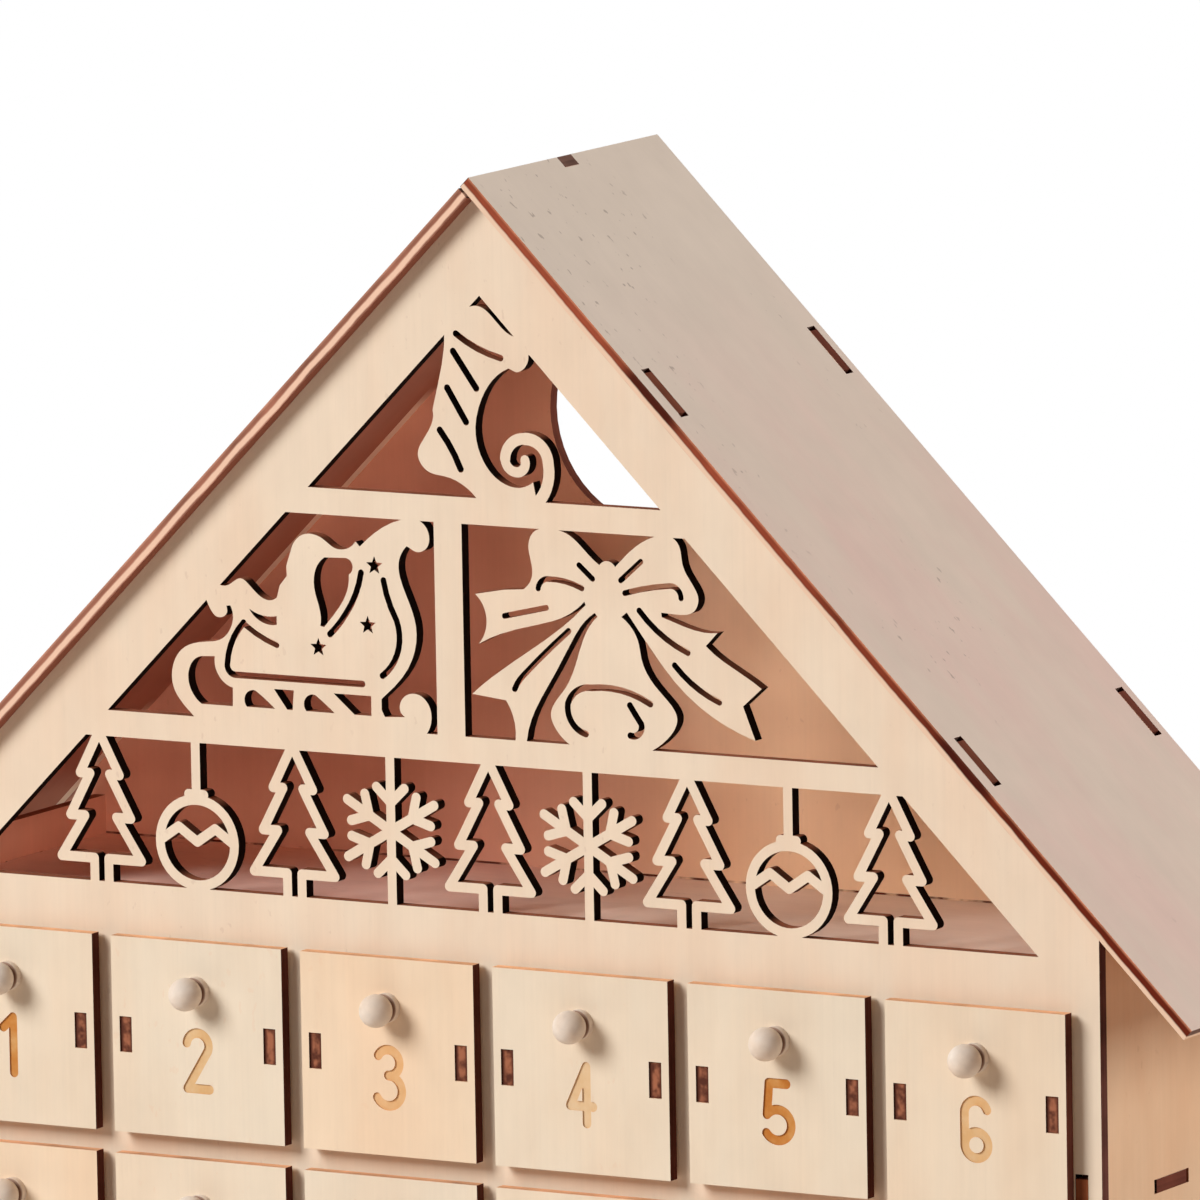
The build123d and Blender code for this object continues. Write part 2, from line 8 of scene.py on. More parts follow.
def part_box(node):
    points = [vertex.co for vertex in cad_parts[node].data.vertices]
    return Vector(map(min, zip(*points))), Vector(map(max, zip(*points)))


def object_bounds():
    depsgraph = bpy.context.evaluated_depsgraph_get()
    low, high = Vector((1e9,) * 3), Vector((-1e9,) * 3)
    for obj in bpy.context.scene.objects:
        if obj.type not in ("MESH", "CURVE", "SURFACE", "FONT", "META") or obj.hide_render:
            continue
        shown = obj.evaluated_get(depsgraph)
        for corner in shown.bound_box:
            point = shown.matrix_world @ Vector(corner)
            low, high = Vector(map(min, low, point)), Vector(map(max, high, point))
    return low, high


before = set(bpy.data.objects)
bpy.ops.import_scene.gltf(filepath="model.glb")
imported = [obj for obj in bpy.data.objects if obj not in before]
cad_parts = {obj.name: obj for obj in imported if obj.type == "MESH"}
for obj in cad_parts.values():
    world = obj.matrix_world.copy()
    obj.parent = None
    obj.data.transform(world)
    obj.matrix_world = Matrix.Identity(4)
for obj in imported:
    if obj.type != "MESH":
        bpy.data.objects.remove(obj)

cad_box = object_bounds()
scene = bpy.context.scene
mm = 0.001

# Camera, as it stood for the photograph
camera_azimuth = radians(30.0898)
camera_elevation = radians(8.6776)
camera_roll = radians(-1.0233)
camera_place = Vector((1.72080, -2.95254, 0.80021))
sensor_width = 36.0
focal_length = 462.03

# Studio: a lamp's level is how bright it makes a white board that faces it from lamp_distance away
room_level = 0.08
room_colour = (1.0, 0.50, 0.33)
key_level = 1.07
key_colour = (0.93, 0.97, 1.0)
key_towards = Vector((-0.47, -0.70, 0.53)).normalized()
key_size = (1.6, 1.6)
attic_level = 0.48
attic_lamp_colour = (1.0, 0.75, 0.62)
attic_towards = Vector((0.53, -0.83, 0.15)).normalized()
attic_lamp_size = (1.6, 1.2)
fill_level = 0.72
fill_towards = Vector((0.85, 0.40, 0.34)).normalized()
fill_size = (2.2, 2.2)
fill_colour = (1.0, 1.0, 1.0)
lamp_distance = 3.6
floor_radius = 1.1
floor_fade = (0.45, 1.0)                   # where the pale floor runs out into white
floor_colour = (0.86, 0.78, 0.70)
floor_roughness = 0.9

# Sizes read from the boards
panel_low, panel_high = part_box("front_panel")
ply = panel_high.y - panel_low.y
panel_half = panel_high.x
back_face_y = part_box("back_panel")[0].y
ridge_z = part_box("right_roof")[1].z
apex_z = ridge_z - ply * sqrt(2)
front_low, front_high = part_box("drawer_01_box")
front_size = front_high.z - front_low.z
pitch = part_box("drawer_02_box")[0].x - front_low.x
margin = (pitch - front_size) / 2          # half of the gap between two fronts
grid_left = front_low.x - margin
grid_top = front_high.z + margin
columns = round(-2 * grid_left / pitch)    # the grid has its middle at x = 0
face_y = front_low.y

# Sizes of the drawers and tabs that the boards' boxes don't give
tray_inset = 2.0 * mm                      # tray inside the edge of its front
tray_lift = 2.5 * mm                       # front's lower edge to the tray
number_rise = 17.8 * mm                    # front's lower edge to the number's middle
number_reach = (11.0 * mm, 8.6 * mm)       # half of the patch that holds a number
number_depth = 0.35 * mm
tenon_recess = 0.4 * mm
tenon_heart = (0.5 * mm, 1.3 * mm)         # where a tenon's end goes from brown to its dark rim of burn and painted shade, from its middle
knob_neck = (1.5 * mm, 1.9 * mm)           # where the knob's painted neck shade starts, out from the front
knob_ball = (2.6 * mm, 4.2 * mm)           # where it runs out on the ball
roof_tabs = (65.4 * mm, 174.7 * mm)        # middles of the roof's tabs, down the slope from the ridge
roof_tab_reach = 8.6 * mm                  # half of the stretch of the edge that is darker beside each tab
roof_tab_fade = 3 * mm                     # how far that darkening fades to either side
char_span = (40 * mm, 220 * mm)            # where the burn of a roof's edge grows darker down the slope
grey_span = (20 * mm, 110 * mm)            # where the roof goes from grey to its own tones down the slope
glue_reach = 1.8 * mm                      # half of the line of glue along the back panel
glue_span = (15 * mm, 25 * mm)             # where the glue starts, away from a roof tab
joint_shade_height = 0.5 * mm                       # height of the painted shade along the joint where the attic floor meets the back panel
rim_reach = 0.2 * mm                       # how near the front panel's end a cut counts as its rim
hair = 0.05 * mm                           # how far from a plane a point still counts as on it
cut_hair = 0.02 * mm                       # the same for the floor of a number

# Features per metre along x, y and z, with the grain of boards upright and that of knobs along y
drift_grain = (46, 46, 15)
cloud_grain = (95, 95, 60)
line_grain = (900, 900, 14)
pore_grain = (1900, 1900, 140)
speck_grain = (560, 560, 300)
patch_grain = (22, 22, 14)
burn_grain = (85, 85, 85)
gap_grain = (160, 160, 160)
soot_grain = (230, 230, 230)
tenon_grain = (420, 420, 420)
knob_lines = (620, 60, 620)
knob_drift = (140, 70, 140)
ply_layers = 1.7                           # streaks of glue and wood in half a cut edge
lying = (0, pi / 2, 0)                     # turn that brings the grain of a level board upright

# Levels of the noise between which each feature of the wood sets in
drift_levels = (0.32, 0.70)
pore_levels = (0.62, 0.76)
speck_levels = (0.66, 0.71)
patch_levels = (0.52, 0.60)
gap_levels = (0.35, 0.60)
mottle_levels = (0.35, 0.65)

# How squarely a surface looks a given way, 0 to 1, where it comes to count as looking that way
face_facing = (0.55, 0.75)
end_facing = (0.75, 0.95)
inside_facing = (0.3, 0.6)

# How strong the grain, the flecks and the burn show, and how rough, glossy and raised the wood is
board_grain = 0.075
board_flecks = 0.12
roof_grain = 0.03
roof_flecks = 0.4
cloud_range = (0.93, 1.07)
knob_line_range = (0.89, 1.11)
soot_range = (0.35, 1.65)
pore_depth = 0.2                           # of a pore, as a share of the grain's strength
layer_burn = 0.7                           # share of the burn that follows the layers of the ply
patch_burn = 1.3                           # share of the burn that comes and goes along the cut
core_wander = 0.6                          # how far the paler core strays, in half thicknesses
core_fade = 0.16                           # half of its soft rim
rim_depth = (0.5, 1.0)                     # where a roof edge's burn turns into its rim, near the top
board_roughness = (0.62, 0.74)
edge_roughness = 0.2                       # on top of the board's
knob_roughness = (0.50, 0.65)
board_gloss = 0.06
knob_gloss = 0.2
floor_gloss = 0.1
grain_relief = 0.10
board_relief = 0.06 * mm
knob_relief = 0.1 * mm
burn_height = 1.5                          # of burnt ridges in a cut, against the grain of a face

# Wood and burn colours
cream = (0.845, 0.685, 0.52)
peach = (0.835, 0.64, 0.47)
# Tones of the inside and the attic floor are painted shade and light: darker and redder at the left, which
# the front shades, and paler at the right, where more light comes in
inside_shade_left = (0.81, 0.41, 0.295)
inside_light_right = (0.95, 0.67, 0.44)
attic_shade_left = (0.97, 0.64, 0.52)
attic_light_right = (0.98, 0.80, 0.66)
inside_shade_to_light = (-0.06, 0.04)                 # where the inside's painted shade at the left gives way to painted light at the right
inner_drift = 0.93                         # the inside's darker drifts, as a share of its tone
# The walls' tones, darker and more orange than the front's, are partly the wood's own tone and partly
# painted shade
wall_tone_and_shade_pale = (0.72, 0.50, 0.325)
wall_tone_and_shade_warm = (0.70, 0.45, 0.278)
roof_pale = (0.815, 0.68, 0.567)
roof_warm = (0.838, 0.635, 0.545)
roof_grey = (0.82, 0.71, 0.595)            # of the roof near its ridge
# The roof's underside is painted shade at the left and a paler painted light further right
under_roof_shade_left = (0.52, 0.245, 0.175)
under_roof_light = (0.98, 0.60, 0.42)
left_roof_core = (0.645, 0.445, 0.33)
left_roof_char = (0.24, 0.10, 0.066)
left_roof_rim = (0.34, 0.175, 0.122)
right_roof_core = (0.84, 0.58, 0.41)
right_roof_char = (0.31, 0.066, 0.032)
right_eave_char = (0.125, 0.016, 0.006)
right_roof_rim = (0.50, 0.19, 0.10)
roof_tab_dark = (0.05, 0.007, 0.004)
roof_scorch = (0.16, 0.09, 0.07)
black_burn = (0.010, 0.0035, 0.002)
rim_burn = (0.10, 0.035, 0.026)
tab_burn = (0.17, 0.052, 0.030)
# underside of a roof's overhang: partly soot, partly painted shade
soot_and_shade = (0.25, 0.09, 0.058)
brown_burn = (0.30, 0.105, 0.055)
wall_burn = (0.33, 0.095, 0.038)
umber = (0.12, 0.035, 0.022)
glue = (0.98, 0.86, 0.72)
cool_pale = (0.815, 0.695, 0.54)           # of the palest drawers
cool_warm = (0.81, 0.66, 0.495)
rosy_pale = (0.87, 0.67, 0.475)            # of the rosiest drawers
rosy_warm = (0.855, 0.62, 0.42)
drawer_char = (0.11, 0.030, 0.018)
drawer_scorch = (0.78, 0.42, 0.23)
tenon_burn_and_shade = (0.10, 0.030, 0.018)
tenon_brown = (0.38, 0.135, 0.07)
number_tan = (0.69, 0.33, 0.10)
knob_pale = (0.80, 0.69, 0.585)
knob_warm = (0.76, 0.61, 0.48)
knob_neck_shade = (0.30, 0.17, 0.11)

# From one drawer to the next: how rosy its wood is, and how hard its number was burnt
drawer_tints = (0.15, 0.10, 0.95, 0.20, 0.12, 0.40)
number_burns = (0.92, 0.36, 0.32, 0.24, 1.00, 0.36)
row_shift = 2.0                            # columns that this order moves by from row to row


def add(tree, kind, inputs=(), **settings):
    """Node with its settings, and with each input either linked or set."""
    node = tree.nodes.new(kind)
    for key, value in settings.items():
        setattr(node, key, value)
    for key, value in dict(inputs).items():
        if isinstance(value, bpy.types.NodeSocket):
            tree.links.new(value, node.inputs[key])
        else:
            node.inputs[key].default_value = value
    return node


def calc(tree, operation, *values):
    return add(tree, "ShaderNodeMath", enumerate(values), operation=operation).outputs[0]


def product(tree, *values):
    """All the values multiplied together."""
    result = values[0]
    for value in values[1:]:
        result = calc(tree, "MULTIPLY", result, value)
    return result


def opposite(tree, mask):
    return calc(tree, "SUBTRACT", 1.0, mask)


def dot(tree, first, second):
    pair = {0: first, 1: second}
    return add(tree, "ShaderNodeVectorMath", pair, operation="DOT_PRODUCT").outputs["Value"]


def scaled(tree, vector, factor):
    pair = {"Vector": vector, "Scale": factor}
    return add(tree, "ShaderNodeVectorMath", pair, operation="SCALE").outputs["Vector"]


def turned(tree, vector, turn):
    pair = {"Vector": vector, "Rotation": turn}
    return add(tree, "ShaderNodeVectorRotate", pair, rotation_type="EULER_XYZ").outputs["Vector"]


def split(tree, vector):
    return add(tree, "ShaderNodeSeparateXYZ", {0: vector}).outputs


def rgba(colour):
    return colour if isinstance(colour, bpy.types.NodeSocket) else (*colour, 1.0)


def blend(tree, share, first, second):
    """Colour between two colours."""
    pick = {0: share, 6: rgba(first), 7: rgba(second)}
    return add(tree, "ShaderNodeMix", pick, data_type="RGBA").outputs[2]


def ease(tree, value, low, high):
    """0 below low, 1 above high and smooth between."""
    limits = {"Value": value, "From Min": low, "From Max": high}
    return add(tree, "ShaderNodeMapRange", limits, interpolation_type="SMOOTHSTEP").outputs["Result"]


def between(tree, share, low, high):
    """Number between two numbers."""
    return calc(tree, "MULTIPLY_ADD", share, high - low, low)


def noise(tree, place, stretch, detail=2.0, roughness=0.5):
    """Noise with so many features per metre along each axis."""
    stretched = add(tree, "ShaderNodeVectorMath", {0: place, 1: stretch}, operation="MULTIPLY")
    values = {"Vector": stretched.outputs["Vector"], "Scale": 1.0, "Detail": detail,
              "Roughness": roughness}
    return add(tree, "ShaderNodeTexNoise", values).outputs["Fac"]


def within(tree, value, middle, half):
    """1 where a value is at most half away from the middle."""
    return calc(tree, "COMPARE", value, middle, half)


def new_group(name, inputs, outputs):
    """Node group with its sockets, as (group, what goes in, what comes out)."""
    group = bpy.data.node_groups.new(name, "ShaderNodeTree")
    for label, kind in inputs.items():
        group.interface.new_socket(label, in_out="INPUT", socket_type=f"NodeSocket{kind}")
    for label, kind in outputs.items():
        group.interface.new_socket(label, in_out="OUTPUT", socket_type=f"NodeSocket{kind}")
    return group, group.nodes.new("NodeGroupInput").outputs, group.nodes.new("NodeGroupOutput").inputs


def make_laser_cut_ply():
    """Birch ply: pale faces, and cut edges burnt black along the grain and browner across it.

    Across is the way the sheet's faces look, Turn brings the grain upright, and Depth goes from -1 at one
    face to 1 at the other. The burn leaves a paler core, Core Half to either side of Core Middle, where the
    half is positive.
    """
    group, given, made = new_group(
        "laser_cut_ply",
        {"Place": "Vector", "Normal": "Vector", "Across": "Vector", "Turn": "Vector", "Depth": "Float",
         "Pale": "Color", "Warm": "Color", "Char": "Color", "Scorch": "Color", "Core": "Color",
         "Core Middle": "Float", "Core Half": "Float", "Grain": "Float", "Flecks": "Float"},
        {"Colour": "Color", "Roughness": "Float", "Height": "Float", "Edge": "Float"},
    )
    facing = calc(group, "ABSOLUTE", dot(group, given["Normal"], given["Across"]))
    edge = opposite(group, ease(group, facing, *face_facing))
    along = turned(group, given["Place"], given["Turn"])
    end_grain = calc(group, "ABSOLUTE", split(group, turned(group, given["Normal"], given["Turn"]))["Z"])

    # faces: broad drifts of tone, hair-fine grain and a few short brown flecks, all along the grain
    drift = ease(group, noise(group, along, drift_grain, detail=3.0, roughness=0.6), *drift_levels)
    cloud = between(group, noise(group, along, cloud_grain, detail=3.0, roughness=0.55), *cloud_range)
    lines = noise(group, along, line_grain, detail=3.0, roughness=0.62)
    pores = ease(group, noise(group, along, pore_grain, detail=1.0), *pore_levels)
    specks = ease(group, noise(group, along, speck_grain), *speck_levels)
    patches = ease(group, noise(group, along, patch_grain), *patch_levels)
    face = blend(group, drift, given["Pale"], given["Warm"])
    streak = product(group, calc(group, "SUBTRACT", 0.5, lines), given["Grain"])
    streak = calc(group, "ADD", streak, product(group, pores, given["Grain"], -pore_depth))
    face = scaled(group, face, product(group, cloud, calc(group, "ADD", 1.0, streak)))
    face = blend(group, product(group, specks, patches, given["Flecks"]), face, given["Scorch"])

    # cut edges: the layers of the sheet show as streaks, and the burn comes and goes along the cut
    patchy = noise(group, given["Place"], burn_grain, detail=3.0, roughness=0.6)
    streaks = {"W": calc(group, "MULTIPLY", given["Depth"], ply_layers), "Scale": 1.0, "Detail": 2.0}
    layers = add(group, "ShaderNodeTexNoise", streaks, noise_dimensions="1D").outputs["Fac"]
    burn = calc(group, "ADD", product(group, layers, layer_burn), product(group, patchy, patch_burn))
    ragged = calc(group, "MULTIPLY_ADD", calc(group, "SUBTRACT", patchy, 0.5), core_wander, given["Depth"])
    from_core = calc(group, "ABSOLUTE", calc(group, "SUBTRACT", ragged, given["Core Middle"]))
    core = ease(group, calc(group, "SUBTRACT", given["Core Half"], from_core), -core_fade, core_fade)
    burnt = blend(group, ease(group, end_grain, *end_facing), given["Char"], given["Scorch"])
    cut = blend(group, core, scaled(group, burnt, burn), given["Core"])

    link = group.links.new
    link(blend(group, edge, face, cut), made["Colour"])
    rough_face = between(group, lines, *board_roughness)
    link(calc(group, "MULTIPLY_ADD", edge, edge_roughness, rough_face), made["Roughness"])
    heights = {0: edge, 2: calc(group, "SUBTRACT", lines, pores), 3: product(group, burn, burn_height)}
    link(add(group, "ShaderNodeMix", heights, data_type="FLOAT").outputs[0], made["Height"])
    link(edge, made["Edge"])
    return group


def make_inside_shade_and_light():
    """Two face colours, which give way on a face that looks inwards to the inside's painted shade at the
    left and painted light at the right.
    """
    group, given, made = new_group(
        "inside_shade_and_light",
        {"Place": "Vector", "Normal": "Vector", "Inwards": "Vector", "Pale": "Color", "Warm": "Color",
         "Left": "Color", "Right": "Color"},
        {"Pale": "Color", "Warm": "Color", "Inside": "Float"},
    )
    inside = ease(group, dot(group, given["Normal"], given["Inwards"]), *inside_facing)
    # painted light towards the right, painted shade towards the left
    rightness = ease(group, split(group, given["Place"])["X"], *inside_shade_to_light)
    tone = blend(group, rightness, given["Left"], given["Right"])
    link = group.links.new
    link(blend(group, inside, given["Pale"], tone), made["Pale"])
    link(blend(group, inside, given["Warm"], scaled(group, tone, inner_drift)), made["Warm"])
    link(inside, made["Inside"])
    return group


laser_cut_ply = make_laser_cut_ply()
inside_shade_and_light = make_inside_shade_and_light()


def new_material(name, gloss):
    """Material with its shader, as (material, tree, shader, place)."""
    material = bpy.data.materials.new(name)
    material.use_nodes = True
    tree = material.node_tree
    shader = tree.nodes["Principled BSDF"]
    shader.inputs["Specular IOR Level"].default_value = gloss
    place = add(tree, "ShaderNodeTexCoord").outputs["Object"]
    return material, tree, shader, place


def facing_of(tree):
    """The way the surface looks."""
    return add(tree, "ShaderNodeNewGeometry").outputs["Normal"]


def raise_grain(tree, shader, height, relief):
    """Bump from a height."""
    bump = add(tree, "ShaderNodeBump", {"Height": height, "Strength": grain_relief, "Distance": relief})
    tree.links.new(bump.outputs["Normal"], shader.inputs["Normal"])


def place_group(tree, group, values):
    """A group with its inputs linked or set, as its outputs."""
    return add(tree, "ShaderNodeGroup", values, node_tree=group).outputs


def cut_sheet(tree, place, normal, across, depth, turn=(0, 0, 0), pale=cream, warm=peach, char=black_burn,
              scorch=brown_burn, core=peach, core_middle=0.0, core_half=-1.0, grain=board_grain,
              flecks=board_flecks):
    """The ply group, placed with its own values."""
    values = {"Place": place, "Normal": normal, "Across": across, "Turn": turn, "Depth": depth,
              "Pale": rgba(pale), "Warm": rgba(warm), "Char": rgba(char), "Scorch": rgba(scorch),
              "Core": rgba(core), "Core Middle": core_middle, "Core Half": core_half, "Grain": grain,
              "Flecks": flecks}
    return place_group(tree, laser_cut_ply, values)


def finish_wood(tree, shader, sheet, colour):
    """Colour, gloss and grain of a sheet on its shader."""
    tree.links.new(colour, shader.inputs["Base Color"])
    tree.links.new(sheet["Roughness"], shader.inputs["Roughness"])
    raise_grain(tree, shader, sheet["Height"], board_relief)


def sheet_depth(tree, place, across, middle):
    """-1 to 1 through a sheet whose middle lies so far along across."""
    return calc(tree, "MULTIPLY", calc(tree, "SUBTRACT", dot(tree, place, across), middle), 2 / ply)


def paint_inside_shade_and_light(tree, place, normal, inwards, pale, warm, left, right):
    """The group of the inside's painted shade and light, placed with its own values."""
    values = {"Place": place, "Normal": normal, "Inwards": inwards, "Pale": rgba(pale), "Warm": rgba(warm),
              "Left": rgba(left), "Right": rgba(right)}
    return place_group(tree, inside_shade_and_light, values)


def board_material(name, across, middle, inwards=None, pale=cream, warm=peach, left=inside_shade_left,
                   right=inside_light_right, joint_z=None, rim_half=None, **ply_values):
    """Laser-cut board whose faces look along across; the face that looks inwards has the inside's painted
    shade and light.

    A board that another one meets at joint_z has painted shade along that joint, as a broken dark line. One
    with a rim_half has browner edges where it ends, that far from the middle of the house, and on its roof
    tabs.
    """
    material, tree, shader, place = new_material(name, board_gloss)
    normal = facing_of(tree)
    if rim_half is not None:
        from_middle = calc(tree, "ABSOLUTE", split(tree, place)["X"])
        at_rim = calc(tree, "GREATER_THAN", from_middle, rim_half - rim_reach)
        roofwards = calc(tree, "ADD", from_middle, split(tree, place)["Z"])
        in_roof = calc(tree, "GREATER_THAN", roofwards, (apex_z + ridge_z) / 2)
        ply_values["char"] = blend(tree, in_roof, blend(tree, at_rim, black_burn, rim_burn), tab_burn)
    if inwards is not None:
        tones = paint_inside_shade_and_light(tree, place, normal, inwards, pale, warm, left, right)
        pale, warm = tones["Pale"], tones["Warm"]
    depth = sheet_depth(tree, place, across, middle)
    sheet = cut_sheet(tree, place, normal, across, depth, pale=pale, warm=warm, **ply_values)
    colour = sheet["Colour"]
    if joint_z is not None:
        # painted shade in the joint where the attic floor meets this board
        gap = within(tree, split(tree, place)["Z"], joint_z + joint_shade_height / 2, joint_shade_height / 2)
        broken = ease(tree, noise(tree, place, gap_grain, detail=3.0), *gap_levels)
        colour = blend(tree, product(tree, gap, tones["Inside"], broken), colour, umber)
    finish_wood(tree, shader, sheet, colour)
    return material


def roof_material(name, side, core, core_middle, core_half, upper_char, lower_char, rim, tab_darkening):
    """Roof board: mottled top, two-toned front edge, and an underside darkened where it overhangs the front,
    partly by soot and partly by painted shade.

    The burn of the edge goes from the upper colour near the ridge to the lower one at the eave, with a paler
    rim, and is darker beside the tabs and on the end at the ridge.
    """
    diagonal = 1 / sqrt(2)
    out = (side * diagonal, 0, diagonal)
    down = (side * diagonal, 0, -diagonal)
    inwards = (-out[0], 0, -out[2])
    material, tree, shader, place = new_material(name, board_gloss)
    normal = facing_of(tree)
    y = split(tree, place)["Y"]
    depth = sheet_depth(tree, place, out, ridge_z * diagonal - ply / 2)
    slope = calc(tree, "ADD", dot(tree, place, down), ridge_z * diagonal)
    away = ease(tree, slope, *grey_span)
    tones = paint_inside_shade_and_light(tree, place, normal, inwards, blend(tree, away, roof_grey, roof_pale),
                        blend(tree, away, roof_grey, roof_warm), under_roof_shade_left, under_roof_light)
    from_tab = [calc(tree, "ABSOLUTE", calc(tree, "SUBTRACT", slope, middle)) for middle in roof_tabs]
    nearest = calc(tree, "MINIMUM", *from_tab)
    darkening_ends = (roof_tab_reach - roof_tab_fade, roof_tab_reach + roof_tab_fade)
    beside_tab = opposite(tree, ease(tree, nearest, *darkening_ends))
    char = blend(tree, ease(tree, slope, *char_span), upper_char, lower_char)
    char = blend(tree, ease(tree, depth, *rim_depth), char, rim)
    at_ridge = calc(tree, "LESS_THAN", slope, 2 * hair)
    at_tab = calc(tree, "MAXIMUM", product(tree, beside_tab, tab_darkening), at_ridge)
    core_left = calc(tree, "SUBTRACT", core_half, calc(tree, "MULTIPLY", at_ridge, 2.0))
    sheet = cut_sheet(
        tree, place, normal, out, depth, turn=(0, side * pi / 4, 0), pale=tones["Pale"], warm=tones["Warm"],
        scorch=roof_scorch, char=blend(tree, at_tab, char, roof_tab_dark), core=core,
        core_middle=core_middle, core_half=core_left, grain=roof_grain,
        flecks=product(tree, opposite(tree, tones["Inside"]), roof_flecks))
    # painted shade, with some soot from the cut, on the underside where it overhangs the front
    soot_and_shade_mask = product(tree, tones["Inside"], calc(tree, "LESS_THAN", y, panel_low.y))
    beaded = ease(tree, nearest, *glue_span)
    glued = product(tree, tones["Inside"], within(tree, y, back_face_y - glue_reach, glue_reach), beaded)
    colour = blend(tree, soot_and_shade_mask, sheet["Colour"], soot_and_shade)
    colour = blend(tree, glued, colour, glue)
    finish_wood(tree, shader, sheet, colour)
    return material


def stepped(tree, value, levels):
    """Level for each of a row of equal steps from 0 to 1."""
    ramp = add(tree, "ShaderNodeValToRGB", {0: value})
    ramp.color_ramp.interpolation = "CONSTANT"
    stops = ramp.color_ramp.elements
    while len(stops) < len(levels):
        stops.new(1.0)
    for k, level in enumerate(levels):
        stops[k].position = k / len(levels)
        stops[k].color = (level, level, level, 1)
    return ramp.outputs["Color"]


def drawer_material():
    """Ply of the drawers: five boards set three ways, a burnt number and the ends of the tenons."""
    material, tree, shader, place = new_material("drawer_ply", board_gloss)
    x, y, z = split(tree, place)
    local_x = calc(tree, "SUBTRACT", calc(tree, "WRAP", x, pitch, 0.0), pitch / 2)
    sideways = calc(tree, "ABSOLUTE", local_x)
    grid_foot = front_low.z % pitch - margin
    in_cell = calc(tree, "WRAP", calc(tree, "SUBTRACT", z, grid_foot), pitch, 0.0)
    rise = calc(tree, "SUBTRACT", in_cell, margin)

    # which board a point is on
    tray_half = front_size / 2 - tray_inset
    side_middle = tray_half - ply / 2
    floor_middle = tray_lift + 1.5 * ply
    back_middle = front_high.y - 1.5 * ply
    on_front = calc(tree, "LESS_THAN", y, face_y + ply + hair)
    behind = opposite(tree, on_front)
    on_side = product(tree, behind, calc(tree, "GREATER_THAN", sideways, tray_half - ply - hair))
    low = calc(tree, "LESS_THAN", rise, floor_middle + ply / 2 + hair)
    on_floor = product(tree, behind, opposite(tree, on_side), low)
    on_back = calc(tree, "SUBTRACT", behind, calc(tree, "ADD", on_side, on_floor))
    upright = calc(tree, "ADD", on_front, on_back)
    across = add(tree, "ShaderNodeCombineXYZ", {0: on_side, 1: upright, 2: on_floor}).outputs[0]
    depths = [
        product(tree, on_front, calc(tree, "SUBTRACT", y, face_y + ply / 2)),
        product(tree, on_side, calc(tree, "SUBTRACT", sideways, side_middle)),
        product(tree, on_floor, calc(tree, "SUBTRACT", rise, floor_middle)),
        product(tree, on_back, calc(tree, "SUBTRACT", y, back_middle)),
    ]
    depth = depths[0]
    for more in depths[1:]:
        depth = calc(tree, "ADD", depth, more)
    depth = calc(tree, "MULTIPLY", depth, 2 / ply)

    # each drawer's own tint and how hard its number was burnt
    column = calc(tree, "FLOOR", calc(tree, "DIVIDE", calc(tree, "SUBTRACT", x, grid_left), pitch))
    row = calc(tree, "FLOOR", calc(tree, "DIVIDE", calc(tree, "SUBTRACT", grid_top, z), pitch))
    step = calc(tree, "WRAP", calc(tree, "MULTIPLY_ADD", row, row_shift, column), columns, 0.0)
    share = calc(tree, "DIVIDE", calc(tree, "ADD", step, 0.5), columns)
    tint = stepped(tree, share, drawer_tints)
    strength = stepped(tree, share, number_burns)

    # number: whatever lies below the face in its patch
    in_cut = within(tree, y, face_y + number_depth / 2, number_depth / 2 - cut_hair)
    floor_of_cut = within(tree, y, face_y + number_depth, cut_hair)
    in_width = within(tree, local_x, 0.0, number_reach[0])
    in_height = within(tree, rise, number_rise, number_reach[1])
    number = product(tree, calc(tree, "MAXIMUM", in_cut, floor_of_cut), in_width, in_height)
    soot = between(tree, noise(tree, place, soot_grain, detail=3.0, roughness=0.6), *soot_range)

    forwards = {0: number, 4: facing_of(tree), 5: (0, -1, 0)}
    plain = add(tree, "ShaderNodeMix", forwards, data_type="VECTOR").outputs[1]
    sheet = cut_sheet(
        tree, place, plain, across, depth, pale=blend(tree, tint, cool_pale, rosy_pale),
        warm=blend(tree, tint, cool_warm, rosy_warm), char=drawer_char, scorch=drawer_scorch)
    absorbed = {0: rgba(number_tan), 1: product(tree, strength, soot)}
    burnt = {0: number, 6: sheet["Colour"], 7: add(tree, "ShaderNodeGamma", absorbed).outputs[0]}
    colour = add(tree, "ShaderNodeMix", burnt, data_type="RGBA", blend_type="MULTIPLY").outputs[2]

    # tenon ends, a little below the face in the slots, dark at their rims with burn and painted shade of the
    # slot's gap
    from_middle = calc(tree, "ABSOLUTE", calc(tree, "SUBTRACT", sideways, side_middle))
    in_slot = calc(tree, "LESS_THAN", from_middle, ply)
    slot = product(tree, within(tree, y, face_y + tenon_recess, hair), in_slot)
    heart = opposite(tree, ease(tree, from_middle, *tenon_heart))
    mottle = ease(tree, noise(tree, place, tenon_grain), *mottle_levels)
    tenon = blend(tree, product(tree, heart, mottle), tenon_burn_and_shade, tenon_brown)
    colour = blend(tree, slot, colour, tenon)
    finish_wood(tree, shader, sheet, colour)
    return material


